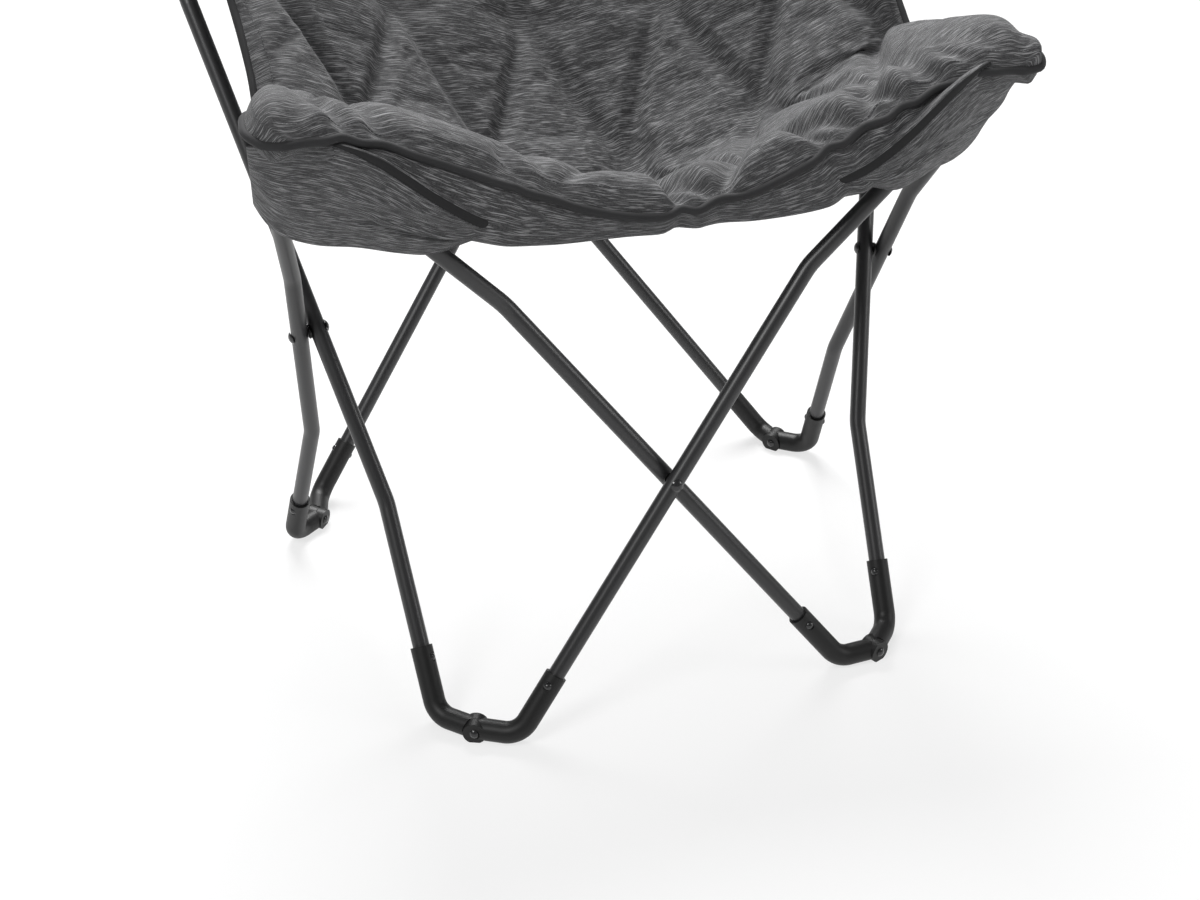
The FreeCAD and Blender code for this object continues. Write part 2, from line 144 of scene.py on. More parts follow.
# The tubes that end in a pocket: the first comes from the other side's foot, the second from its own
BAND_TUCK = 0.22            # share of a front band that narrows to slip under the piping
BAND_SHARE = 0.74           # how much of a front pocket's upper edge is bound
BAND_RISE = 0.0012          # the band stands this far off the pocket
# Room kept round the tube ends by the pockets, and by the cover above them
TUBE_ROOM = 0.0125
POCKET_ROOM = 0.0170
SETTLE_ROUNDS = 14
POCKET_CLOTH = 0.0022
BAND_CLOTH = 0.0018
SWELL_FRAMES = 20
FLOOR_HALF = 40.0
FLOOR_GLOW = 0.72
ROOM_LIGHT = 0.26
# Name, place, side length and power of each lamp
LAMP_AIM = (0.0, 0.0, 0.4)
LAMPS = (
    ("key", (-2.4, -1.6, 3.0), 1.2, 60.0),
    ("fill", (2.9, -1.6, 1.7), 1.2, 24.0),
    ("top", (0.2, 1.9, 3.3), 2.0, 225.0),
)


def length_setting(label, about, default):
    return FloatProperty(name=label, description=about, default=default, subtype="DISTANCE", unit="LENGTH")


def colour_setting(label, about, default):
    return FloatVectorProperty(name=label, description=about, default=default, size=3, subtype="COLOR")


def place_setting(label, about, default):
    return FloatVectorProperty(name=label, description=about, default=default, size=3, subtype="TRANSLATION",
                               unit="LENGTH")


class ChairCover(bpy.types.PropertyGroup):
    """Sizes and colours of the padded cover"""

    spacing: length_setting("Mesh spacing", "Distance between points of the simulated cloth", 0.006)
    roll_top: length_setting("Roll above", "Height of the edge roll above its piping", 0.034)
    roll_under: length_setting("Roll below", "Depth of the edge roll below its piping", 0.024)
    skirt: length_setting("Skirt", "Extra depth of the edge roll below its piping at the sides", 0.040)
    filling: length_setting("Filling", "Half thickness of the padding between the tufts", 0.019)
    tuft_pitch: length_setting("Tuft pitch", "Distance between tufts in a row", 0.17)
    tuft_shift: length_setting("Tuft shift", "How far the rows of tufts stand to the right", 0.05)
    tuft_rows: IntProperty(name="Tuft rows", description="Rows of tufts between the two edge rolls", default=4)
    pressure: FloatProperty(name="Pressure", description="Pressure that swells the padding", default=3.0)
    slack: FloatProperty(name="Slack", description="Spare cloth that makes the wrinkles", default=0.012)
    swell_limit: length_setting("Swell limit", "Furthest that a point of the cloth may move", 0.016)
    piping_radius: length_setting("Piping radius", "Radius of the corded edge", 0.0046)
    binding_width: length_setting("Binding width", "Width of the bound edge of a pocket", 0.010)
    dark: colour_setting("Dark yarn", "Ground colour of the melange cloth", (0.060, 0.060, 0.062))
    light: colour_setting("Light yarn", "Colour of the streaks in the melange cloth", (0.330, 0.331, 0.336))
    thread: colour_setting("Thread", "Colour of the sewing thread", (0.055, 0.056, 0.060))
    trim: colour_setting("Trim", "Colour of the piping and the bound edges", (0.024, 0.024, 0.025))


class ChairFrame(bpy.types.PropertyGroup):
    """Colours of the folding frame"""

    coat: colour_setting("Tube coat", "Powder coat of the tubes", (0.017, 0.017, 0.018))
    plastic: colour_setting("Moulded plastic", "Foot elbows, spacers and end caps", (0.006, 0.006, 0.006))
    rivet: colour_setting("Rivet", "Lacquered rivet and pin heads", (0.013, 0.013, 0.014))


class ChairStage(bpy.types.PropertyGroup):
    """Camera and floor"""

    camera: place_setting("Camera", "Where the camera stands", (-0.7076, -2.2379, 1.4904))
    target: place_setting("Target", "Point that the camera looks at", (0.0, -0.1185, 0.2137))
    lens: FloatProperty(name="Lens", description="Focal length of the camera", default=65.1)
    shift: FloatVectorProperty(name="Shift", description="Sideways and upward shift of the lens", size=2,
                               default=(-0.0093, -0.0159))
    floor: colour_setting("Floor", "Colour of the floor", (0.86, 0.86, 0.86))


class Value:
    """A shader socket that takes part in Python sums"""

    def __init__(self, shader, socket):
        self.shader = shader
        self.socket = socket

    def sum(self, operation, first, second):
        return self.shader.add("ShaderNodeMath", {"operation": operation}, {0: first, 1: second})

    def __add__(self, other):
        return self.sum("ADD", self, other)

    def __sub__(self, other):
        return self.sum("SUBTRACT", self, other)

    def __mul__(self, other):
        return self.sum("MULTIPLY", self, other)


class Finish:
    """One material, with its nodes added by name"""

    def __init__(self, name):
        self.material = bpy.data.materials.new(name)
        self.material.use_nodes = True
        self.tree = self.material.node_tree
        self.tree.nodes.clear()
        self.surface = self.tree.nodes.new("ShaderNodeBsdfPrincipled")
        self.output = self.tree.nodes.new("ShaderNodeOutputMaterial")
        self.tree.links.new(self.surface.outputs[0], self.output.inputs["Surface"])

    def add(self, kind, settings=None, inputs=None, output=0):
        """Adds a node: its settings first, then the values or links of its sockets"""
        node = self.tree.nodes.new(kind)
        for name, value in (settings or {}).items():
            if name == "stops":
                self.set_stops(node.color_ramp, value)
            else:
                setattr(node, name, value)
        for name, value in (inputs or {}).items():
            self.feed(node.inputs[name], value)
        return Value(self, node.outputs[output])

    @staticmethod
    def set_stops(ramp, stops):
        while len(ramp.elements) < len(stops):
            ramp.elements.new(0.5)
        for element, (place, shade) in zip(ramp.elements, stops):
            element.position = place
            element.color = (shade, shade, shade, 1.0)

    def feed(self, socket, value):
        if isinstance(value, Value):
            self.tree.links.new(value.socket, socket)
        elif hasattr(value, "__len__") and socket.type == "RGBA":
            socket.default_value = (*value[:3], 1.0)
        else:
            socket.default_value = value

    def set(self, **inputs):
        for name, value in inputs.items():
            socket = "Specular IOR Level" if name == "specular" else name.replace("_", " ").title()
            self.feed(self.surface.inputs[socket], value)

    def place(self, source="Object", scale=(1.0, 1.0, 1.0), turn=0.0):
        """Coordinates of the surface, in metres times scale"""
        where = self.add("ShaderNodeTexCoord", output=source)
        return self.add("ShaderNodeMapping", {},
                        {"Vector": where, "Scale": scale, "Rotation": (0.0, 0.0, turn)})

    def noise(self, where, scale, detail=3.0, roughness=0.5):
        return self.add("ShaderNodeTexNoise", {},
                        {"Vector": where, "Scale": scale, "Detail": detail, "Roughness": roughness})

    def ramp(self, value, *stops):
        return self.add("ShaderNodeValToRGB", {"stops": stops}, {"Fac": value})

    def mix(self, factor, first, second):
        inputs = {0: factor, 6: first, 7: second}
        return self.add("ShaderNodeMix", {"data_type": "RGBA"}, inputs, output=2)

    def bump(self, height, strength, distance):
        normal = self.add("ShaderNodeBump", {}, {"Height": height, "Strength": strength, "Distance": distance})
        self.set(normal=normal)


def toned(colour, factor):
    return [c * factor for c in colour]


def powder_coat(colour):
    finish = Finish("powder_coat")
    where = finish.place()
    grain = finish.noise(where, 1400.0, 2.0)
    cloud = finish.noise(where, 9.0, 3.0)
    rubbed = finish.ramp(finish.noise(where, 26.0, 5.0, 0.6), (0.60, 0.0), (0.78, 1.0))
    shade = finish.mix(cloud, toned(colour, 0.86), toned(colour, 1.16))
    finish.set(base_color=finish.mix(rubbed * 0.22, shade, toned(colour, 1.9)))
    finish.set(roughness=cloud * 0.10 + grain * 0.06 + 0.29, metallic=0.0, specular=0.6)
    finish.bump(grain, 0.16, 0.0003)
    return finish.material


def moulded_plastic(name, colour, roughness=0.50):
    finish = Finish(name)
    where = finish.place()
    grain = finish.noise(where, 2400.0, 2.0)
    flow = finish.noise(where, 60.0, 4.0)
    scuff = finish.ramp(finish.noise(where, 180.0, 6.0, 0.7), (0.62, 0.0), (0.74, 1.0))
    shade = finish.mix(flow, toned(colour, 0.8), toned(colour, 1.3))
    finish.set(base_color=finish.mix(scuff * 0.25, shade, toned(colour, 3.0)))
    finish.set(roughness=flow * 0.12 + scuff * 0.08 + roughness - 0.08, specular=0.38)
    finish.bump(grain + flow * 0.5, 0.12, 0.0003)
    return finish.material


def lacquered_rivet(colour):
    finish = Finish("lacquered_rivet")
    where = finish.place()
    haze = finish.noise(where, 300.0, 4.0)
    chips = finish.ramp(finish.noise(where, 900.0, 3.0), (0.66, 0.0), (0.72, 1.0))
    finish.set(base_color=finish.mix(chips * 0.3, colour, toned(colour, 4.0)))
    finish.set(roughness=haze * 0.10 + 0.17, coat_weight=0.3, coat_roughness=0.1)
    finish.bump(haze, 0.04, 0.0002)
    return finish.material


def melange_cloth(dark, light):
    """Streaked yarns that run across the cover, under a fine plain weave"""
    finish = Finish("melange_cloth")
    long_streaks = finish.noise(finish.place("UV", (34.0, 1050.0, 1.0)), 1.0, 2.0, 0.5)
    short_streaks = finish.noise(finish.place("UV", (170.0, 1150.0, 1.0), 0.05), 1.0, 2.0, 0.5)
    slanted = finish.noise(finish.place("UV", (58.0, 1250.0, 1.0), -0.14), 1.0, 2.0, 0.5)
    clouds = finish.noise(finish.place("UV", (9.0, 36.0, 1.0)), 1.0, 3.0, 0.5)
    heather = finish.noise(finish.place("UV", (560.0, 800.0, 1.0)), 1.0, 2.0, 0.6)
    pale = finish.ramp(long_streaks, (0.55, 0.0), (0.66, 1.0))
    fleck = finish.ramp(slanted, (0.57, 0.0), (0.69, 1.0))
    shadow = finish.ramp(short_streaks * 0.4 + heather * 0.6, (0.40, 1.0), (0.54, 0.0))
    ground = finish.mix(clouds, toned(dark, 0.90), toned(dark, 1.12))
    sunk = finish.mix(shadow * 0.75, ground, toned(dark, 0.40))
    lit = finish.mix(pale * 0.70, sunk, light)
    finish.set(base_color=finish.mix(fleck * 0.55, lit, toned(light, 1.2)))
    finish.set(roughness=pale * 0.06 + 0.84, specular=0.25, sheen_weight=0.06, sheen_roughness=0.4)
    warp = finish.add("ShaderNodeTexWave", {"bands_direction": "X"},
                      {"Vector": finish.place("UV"), "Scale": 260.0, "Distortion": 1.2})
    weft = finish.add("ShaderNodeTexWave", {"bands_direction": "Y"},
                      {"Vector": finish.place("UV"), "Scale": 300.0, "Distortion": 1.2})
    finish.bump(warp * 0.25 + weft * 0.35 + pale * 0.3 - shadow * 0.3, 0.28, 0.0006)
    return finish.material


def trim_cloth(colour):
    finish = Finish("trim_cloth")
    where = finish.place()
    yarn = finish.noise(where, 900.0, 3.0)
    clouds = finish.noise(where, 40.0, 3.0)
    shade = finish.mix(yarn * 0.7 + clouds * 0.3, toned(colour, 0.65), toned(colour, 1.5))
    finish.set(base_color=shade, roughness=yarn * 0.10 + 0.74, specular=0.25)
    finish.set(sheen_weight=0.05, sheen_roughness=0.4)
    finish.bump(yarn, 0.25, 0.0005)
    return finish.material


def binding_tape(colour):
    """Ribbed tape, darker than the piping"""
    finish = Finish("binding_tape")
    where = finish.place()
    yarn = finish.noise(where, 1100.0, 3.0)
    ribs = finish.noise(finish.place("Object", (1.0, 1.0, 5.0)), 420.0, 2.0)
    shade = finish.mix(yarn * 0.5 + ribs * 0.5, toned(colour, 0.35), toned(colour, 0.95))
    finish.set(base_color=shade, roughness=yarn * 0.10 + 0.70, specular=0.25)
    finish.bump(ribs + yarn * 0.6, 0.3, 0.0006)
    return finish.material


def thread_finish(colour):
    finish = Finish("sewing_thread")
    twist = finish.noise(finish.place(), 2500.0, 2.0)
    finish.set(base_color=finish.mix(twist, toned(colour, 0.5), colour), roughness=0.6)
    finish.bump(twist, 0.2, 0.0003)
    return finish.material


def named_finish(name, maker, *settings):
    """A finish is made once and found again by its name"""
    return bpy.data.materials.get(name) or maker(*settings)


def eased(knots, values, at):
    """A smooth line through values at knots"""
    knots = np.asarray(knots, float)
    values = np.asarray(values, float)
    slopes = np.gradient(values, knots)
    i = np.clip(np.searchsorted(knots, at, side="right") - 1, 0, len(knots) - 2)
    span = knots[i + 1] - knots[i]
    t = (at - knots[i]) / span
    start = values[i] * (1 + 2 * t) * (1 - t) ** 2 + slopes[i] * span * t * (1 - t) ** 2
    finish = values[i + 1] * t * t * (3 - 2 * t) + slopes[i + 1] * span * t * t * (t - 1)
    return start + finish


def travelled(points):
    """Distance along a line of points, from its start to each of them"""
    return np.concatenate(([0.0], np.cumsum(np.linalg.norm(np.diff(points, axis=0), axis=1))))


def sampled(points, count):
    """count points evenly spaced along a smooth line through the given points"""
    points = np.asarray(points, float)
    knots = travelled(points)
    fine = np.linspace(0.0, knots[-1], 40 * len(points))
    line = np.stack([eased(knots, points[:, k], fine) for k in range(3)], axis=1)
    along = travelled(line)
    even = np.linspace(0.0, along[-1], count)
    return np.stack([np.interp(even, along, line[:, k]) for k in range(3)], axis=1)


def step_between(low, high, value):
    """Rises smoothly from 0 at low to 1 at high"""
    t = np.clip((value - low) / (high - low), 0, 1)
    return t * t * (3 - 2 * t)


def finer(grid):
    """Doubles the rows and columns of a grid of points, smoothly"""
    for axis in (0, 1):
        grid = np.moveaxis(grid, axis, 0)
        padded = np.concatenate((2 * grid[:1] - grid[1:2], grid, 2 * grid[-1:] - grid[-2:-1]))
        middle = (9 * (padded[1:-2] + padded[2:-1]) - padded[:-3] - padded[3:]) / 16
        out = np.empty((2 * len(grid) - 1, *grid.shape[1:]))
        out[::2] = grid
        out[1::2] = middle
        grid = np.moveaxis(out, 0, axis)
    return grid


def grid_normals(grid):
    along = np.gradient(grid, axis=0)
    across = np.gradient(grid, axis=1)
    normals = np.cross(across, along)
    return normals / np.maximum(np.linalg.norm(normals, axis=2, keepdims=True), 1e-9)


def numbered(count, faces):
    """The points that faces use, and the new number of each"""
    used = np.unique(faces)
    number = np.full(count, -1)
    number[used] = np.arange(len(used))
    return used, number


def new_piece(name, data, *finishes):
    piece = bpy.data.objects.new(name, data)
    bpy.context.scene.collection.objects.link(piece)
    for finish in finishes:
        data.materials.append(finish)
    return piece


class Sling:
    """The padded cover as two sheets of points, sewn together round their edge"""

    def __init__(self, cover):
        self.cover = cover
        line = np.array([(s.y, s.z) for s in SLING])
        self.knots = travelled(line)
        self.length = self.knots[-1]
        self.crease = self.knots[CREASE]
        front_rows = 2 * round(self.crease / cover.spacing / 2)
        back_rows = 2 * round((self.length - self.crease) / cover.spacing / 2)
        self.along = np.concatenate((np.linspace(0, self.crease, front_rows + 1),
                                     np.linspace(self.crease, self.length, back_rows + 1)[1:]))
        self.crease_row = front_rows
        columns = 2 * round(SLING[0].half_width / cover.spacing) + 1
        self.across = np.linspace(-1, 1, columns)
        self.middle = self.middle_sheet()
        self.normals = grid_normals(self.middle)
        step = np.linalg.norm(np.diff(self.middle, axis=1), axis=2)
        half = np.concatenate((np.zeros((len(step), 1)), np.cumsum(step, axis=1)), axis=1)
        self.x = half - half[:, [columns // 2]]
        self.s = np.repeat(self.along[:, None], columns, axis=1)

    def station(self, name):
        return eased(self.knots, [getattr(s, name) for s in SLING], self.along)

    def middle_sheet(self):
        lean = np.radians(self.station("lean"))
        up = np.stack((np.zeros_like(lean), np.sin(lean), np.cos(lean)), axis=1)
        ends = np.minimum(self.along, self.length - self.along)
        short = np.clip(CORNER_RADIUS - ends, 0, CORNER_RADIUS)
        half = self.station("half_width") - CORNER_RADIUS + np.sqrt(CORNER_RADIUS ** 2 - short ** 2)
        u = self.across[None, :]
        sheet = np.zeros((len(self.along), len(self.across), 3))
        sheet[:, :, 0] = u * half[:, None]
        sheet[:, :, 1] = self.station("y")[:, None]
        sheet[:, :, 2] = self.station("z")[:, None]
        share = np.interp(self.along, (0.0, 0.10, self.crease), (1.0, 0.9, 0.35))[:, None]
        curve = share * step_between(0.0, 1.0, np.abs(u)) + (1 - share) * np.abs(u) ** SAG_POWER
        droop = 1 - (CORNER_DROOP * step_between(0.86, 1.0, np.abs(u))
                     * step_between(0.14, 0.0, self.along)[:, None])
        sag = self.station("rise")[:, None] * curve * droop - share * FRONT_TILT * u
        return sheet + sag[:, :, None] * up[:, None, :]

    def edge_distance(self):
        sides = np.abs(self.x[:, [-1]]) - np.abs(self.x)
        ends = np.minimum(self.s, self.length - self.s)
        return np.minimum(sides, ends)

    def tufts(self):
        """Staggered rows of tufts, the first and last on the edge, as (across, along, strength)"""
        cover = self.cover
        inner = np.linspace(EDGE_ROW, self.length - EDGE_ROW, cover.tuft_rows)
        rows = [[(x, 0.0, strength) for x, strength in FRONT_PINCHES]]
        for row, s in enumerate((*inner, self.length), start=1):
            start = cover.tuft_shift - 3 * cover.tuft_pitch + (row % 2) * cover.tuft_pitch / 2
            rows.append([(start + k * cover.tuft_pitch, s, 1.0) for k in range(6)])
        return rows

    def quilting(self):
        """How near each point is to a tuft and to a quilting crease, from 0 to 1"""
        rows = self.tufts()
        tuft = np.zeros(self.x.shape)
        crease = np.zeros(self.x.shape)
        here = np.stack((self.x, self.s), axis=2)
        for x, s, strength in (place for row in rows for place in row):
            spread = TUFT_SPREAD if s else EDGE_TUFT_SPREAD
            near = np.exp(-(np.linalg.norm(here - (x, s), axis=2) / spread) ** 2)
            tuft = np.maximum(tuft, strength * near * (1.0 if s else EDGE_TUFT_SHARE))
        for x, strength in FRONT_PINCHES:
            start = x - NOTCH_SHIFT
            end = (start - NOTCH_SLANT, NOTCH_LENGTH * strength)
            away = self.segment_distance(here, (start, NOTCH_START), end)
            tuft = np.maximum(tuft, strength * np.exp(-(away / NOTCH_SPREAD) ** 2))
        for row, after in zip(rows, rows[1:]):
            for x, s, strength in row:
                for other in after:
                    if abs(x - other[0]) < self.cover.tuft_pitch * CREASE_REACH:
                        away = self.segment_distance(here, (x, s), other[:2])
                        crease = np.maximum(crease, strength * np.exp(-(away / CREASE_SPREAD) ** 2))
        return tuft, crease

    @staticmethod
    def segment_distance(here, start, end):
        start, end = np.array(start), np.array(end)
        run = end - start
        t = np.clip(((here - start) @ run) / (run @ run), 0, 1)
        return np.linalg.norm(here - start - t[..., None] * run, axis=2)

    def sheets(self):
        """Top and under sheet before they swell"""
        cover = self.cover
        tuft, crease = self.quilting()
        edge = self.edge_distance()
        drawn = (1 - TUFT_DEPTH * tuft) * (1 - CREASE_DEPTH * crease)
        sides = step_between(0.02, 0.20, np.abs(self.x)) * step_between(0.36, 0.24, np.abs(self.x))
        sides = sides * step_between(0.30, 0.05, self.s)
        under_roll = cover.roll_under + cover.skirt * sides
        middle = self.drawn_rim(tuft, edge)
        sheets = []
        for roll, reach, sign in ((cover.roll_top, TOP_REACH, 1), (under_roll, UNDER_REACH, -1)):
            round_edge = np.sqrt(np.clip(1 - (1 - np.clip(edge / reach, 0, 1)) ** 2, 0, 1))
            inner = step_between(reach, reach + 0.09, edge)
            thick = roll * (1 - inner) + cover.filling * inner
            pulled = drawn if sign > 0 else 1 - (1 - drawn) * step_between(0.06, 0.14, edge)
            sheets.append(middle + sign * (thick * round_edge * pulled)[:, :, None] * self.normals)
        top, under = sheets
        for mirror in (np.ones(3), MIRROR):
            under = clear_of_tubes(under * mirror, FRONT_POCKET.tubes, np.array(FRONT_POCKET.outward), -1,
                                   POCKET_ROOM) * mirror
        for rim in RIM:
            under[rim] = top[rim]
        return top, under, tuft, crease

    def drawn_rim(self, tuft, edge):
        """The middle sheet with its rim pulled back where the edge is pinched"""
        pull = tuft * np.exp(-edge / PINCH_FADE)
        inward = np.zeros_like(self.middle)
        inward[:, :, 1] = PINCH_BACK * pull * np.where(self.s < self.length / 2, 1, -1)
        inward[:, :, 2] = PINCH_UP * pull
        return self.middle + inward

    def sewn(self):
        """The two sheets after the padding has swelled between the tufts"""
        top, under, tuft, crease = self.sheets()
        faces, under_index = sewn_faces(top.shape[:2])
        count = top.shape[0] * top.shape[1]
        points = np.concatenate((top.reshape(-1, 3), under.reshape(-1, 3)))
        pins = step_between(0.72, 0.9, tuft)
        pins = np.maximum(pins, 0.80 * step_between(0.80, 0.97, crease))
        pins[[0, -1], :] = 1.0
        pins[:, [0, -1]] = 1.0
        edge = self.edge_distance()
        firm = 0.9 * step_between(0.08, 0.05, edge) * step_between(0.35, 0.25, self.s)
        pins = np.concatenate((pins.ravel(), np.maximum(pins, firm).ravel()))
        swelled = swell(points, faces, pins, self.cover)
        return (swelled[:count].reshape(top.shape),
                swelled[under_index].reshape(top.shape))


def sewn_faces(shape):
    """Quads of a top sheet and an under sheet that share the points of their rim"""
    rows, columns = shape
    top = np.arange(rows * columns).reshape(shape)
    under = top + rows * columns
    for rim in RIM:
        under[rim] = top[rim]
    faces = np.concatenate((quads(top), quads(under)[:, ::-1]))
    return faces, under.ravel()


def quads(index):
    corners = (index[:-1, :-1], index[:-1, 1:], index[1:, 1:], index[1:, :-1])
    return np.stack([c.ravel() for c in corners], axis=1)


def swell(points, faces, pins, cover):
    """Blows the padding up under pressure and returns where its points went"""
    used, number = numbered(len(points), faces)
    mesh = bpy.data.meshes.new("swelling")
    mesh.from_pydata(points[used].tolist(), [], number[faces].tolist())
    piece = new_piece("swelling", mesh)
    group = piece.vertex_groups.new(name="pinned")
    levels = np.round(pins[used], 2)
    for level in np.unique(levels[levels > 0]):
        group.add(np.flatnonzero(levels == level).tolist(), float(level), "REPLACE")
    cloth = piece.modifiers.new("cloth", "CLOTH")
    settings = cloth.settings
    settings.quality = 5
    settings.mass = 0.25
    settings.air_damping = 3.0
    settings.tension_stiffness = 18.0
    settings.compression_stiffness = 18.0
    settings.shear_stiffness = 6.0
    settings.bending_stiffness = 1.2
    settings.shrink_min = -cover.slack
    settings.vertex_group_mass = "pinned"
    settings.pin_stiffness = 12.0
    settings.use_pressure = True
    settings.uniform_pressure_force = cover.pressure
    settings.effector_weights.gravity = 0.0
    cloth.collision_settings.use_collision = False
    cloth.point_cache.frame_start = 1
    cloth.point_cache.frame_end = SWELL_FRAMES
    scene = bpy.context.scene
    for step in range(1, SWELL_FRAMES + 1):
        scene.frame_set(step)
    shown = piece.evaluated_get(bpy.context.evaluated_depsgraph_get()).to_mesh()
    moved = np.empty(len(used) * 3)
    shown.vertices.foreach_get("co", moved)
    travel = moved.reshape(-1, 3) - points[used]
    far = np.linalg.norm(travel, axis=1, keepdims=True)
    travel *= np.minimum(1.0, cover.swell_limit / np.maximum(far, 1e-9))
    result = points.copy()
    result[used] += travel
    bpy.data.objects.remove(piece)
    scene.frame_set(1)
    return result


def cover_piece(name, sling, rows, columns, finish):
    """A closed piece of the cover between two rows and two columns of its sheets"""
    top, under, normals, under_normals = sling.final
    shape = top.shape[:2]
    index = np.arange(shape[0] * shape[1]).reshape(shape)
    under_index = index + index.size
    for rim in RIM:
        under_index[rim] = index[rim]
    cut = (slice(rows[0], rows[1] + 1), slice(columns[0], columns[1] + 1))
    upper, lower = index[cut], under_index[cut]
    faces = [tuple(f) for f in quads(upper)]
    faces += [tuple(f) for f in quads(lower)[:, ::-1]]
    caps = []
    inner = (rows[0] > 0, rows[1] < shape[0] - 1, columns[0] > 0, columns[1] < shape[1] - 1)
    for edge, closed, flip in zip(RIM, inner, (True, False, False, True)):
        if closed:
            a, b = upper[edge], lower[edge]
            for k in range(len(a) - 1):
                ring = (a[k], b[k], b[k + 1], a[k + 1])
                ring = ring[::-1] if flip else ring
                caps.append(tuple(dict.fromkeys(ring)))
    points = np.concatenate((top.reshape(-1, 3), under.reshape(-1, 3)))
    used, number = numbered(len(points), np.concatenate([np.array(f) for f in faces + caps]))
    mesh = bpy.data.meshes.new(name)
    mesh.from_pydata(points[used].tolist(), [], [[int(number[i]) for i in f] for f in faces + caps])
    top_weave, under_weave = (weave.reshape(-1, 2) for weave in sling.weave)
    grid = quads(index[cut])
    cap_corners = np.array([i % index.size for f in caps for i in f], int)
    uv = np.concatenate((top_weave[grid.ravel()], under_weave[grid[:, ::-1].ravel()], top_weave[cap_corners]))
    shading = np.concatenate((normals.reshape(-1, 3), under_normals.reshape(-1, 3)))[used]
    corner = np.empty(len(mesh.loops), int)
    mesh.loops.foreach_get("vertex_index", corner)
    mesh.uv_layers.new(name="weave").data.foreach_set("uv", uv.ravel())
    mesh.polygons.foreach_set("use_smooth", [True] * len(mesh.polygons))
    mesh.normals_split_custom_set(shading[corner].tolist())
    return new_piece(name, mesh, finish)


def measured(sheet, crease):
    """Distances along a sheet of points, across from its middle and up from its crease"""
    across = np.linalg.norm(np.diff(sheet, axis=1), axis=2).mean(axis=0)
    across = np.concatenate(([0.0], np.cumsum(across)))
    along = np.linalg.norm(np.diff(sheet, axis=0), axis=2).mean(axis=1)
    along = np.concatenate(([0.0], np.cumsum(along)))
    across = (across - across[len(across) // 2])[None, :]
    along = (along - along[crease])[:, None]
    return np.stack(np.broadcast_arrays(across, along), axis=2)


def rim_normals(top_normals, under_normals):
    """Normals that meet halfway round the rim"""
    for rim in RIM:
        middle = top_normals[rim] + under_normals[rim]
        middle /= np.maximum(np.linalg.norm(middle, axis=-1, keepdims=True), 1e-9)
        top_normals[rim] = middle
        under_normals[rim] = middle


class Tree:
    """A geometry node tree that turns a path into a finished mesh"""

    def __init__(self, name, **sizes):
        self.tree = bpy.data.node_groups.new(name, "GeometryNodeTree")
        self.socket("Path", "Geometry")
        for label, size in sizes.items():
            self.socket(label.title(), "Float").default_value = size
        self.socket("Finish", "Material")
        self.socket("Mesh", "Geometry", "OUTPUT")
        self.given = self.tree.nodes.new("NodeGroupInput")
        self.result = self.tree.nodes.new("NodeGroupOutput")

    def socket(self, name, kind, way="INPUT"):
        return self.tree.interface.new_socket(name, in_out=way, socket_type="NodeSocket" + kind)

    def add(self, kind, settings=None, inputs=None):
        node = self.tree.nodes.new(kind)
        for name, value in (settings or {}).items():
            setattr(node, name, value)
        for name, value in (inputs or {}).items():
            if isinstance(value, bpy.types.NodeSocket):
                self.tree.links.new(value, node.inputs[name])
            else:
                node.inputs[name].default_value = value
        return node.outputs

    def size(self, name):
        return self.given.outputs[name]

    def close(self, geometry):
        whole = self.add("GeometryNodeRealizeInstances", inputs={0: geometry})[0]
        smooth = self.add("GeometryNodeSetShadeSmooth", inputs={0: whole})[0]
        dressed = self.add("GeometryNodeSetMaterial", inputs={0: smooth, "Material": self.size("Finish")})[0]
        self.tree.links.new(dressed, self.result.inputs[0])
        return self.tree


def corded_tree():
    """A round cord swept along a path, with closed ends"""
    tree = Tree("corded_edge", radius=0.0045, step=0.004)
    path = tree.add("GeometryNodeResampleCurve", {"mode": "LENGTH"},
                    {"Curve": tree.size("Path"), "Length": tree.size("Step")})[0]
    ring = tree.add("GeometryNodeCurvePrimitiveCircle",
                    inputs={"Resolution": 14, "Radius": tree.size("Radius")})[0]
    tube = tree.add("GeometryNodeCurveToMesh",
                    inputs={"Curve": path, "Profile Curve": ring, "Fill Caps": True})[0]
    return tree.close(tube)


def stitch_tree():
    """Short stitches laid end to end along a path"""
    tree = Tree("stitch_row", length=0.0032, gap=0.0014, thread=0.00045)
    pitch = tree.add("ShaderNodeMath", {"operation": "ADD"}, {0: tree.size("Length"), 1: tree.size("Gap")})[0]
    places = tree.add("GeometryNodeCurveToPoints", {"mode": "LENGTH"},
                      {"Curve": tree.size("Path"), "Length": pitch})
    stitch = tree.add("GeometryNodeMeshCylinder", {"fill_type": "TRIANGLE_FAN"},
                      {"Vertices": 6, "Side Segments": 1, "Radius": tree.size("Thread"),
                       "Depth": tree.size("Length")})[0]
    laid = tree.add("GeometryNodeInstanceOnPoints",
                    inputs={"Points": places["Points"], "Instance": stitch, "Rotation": places["Rotation"]})[0]
    return tree.close(laid)


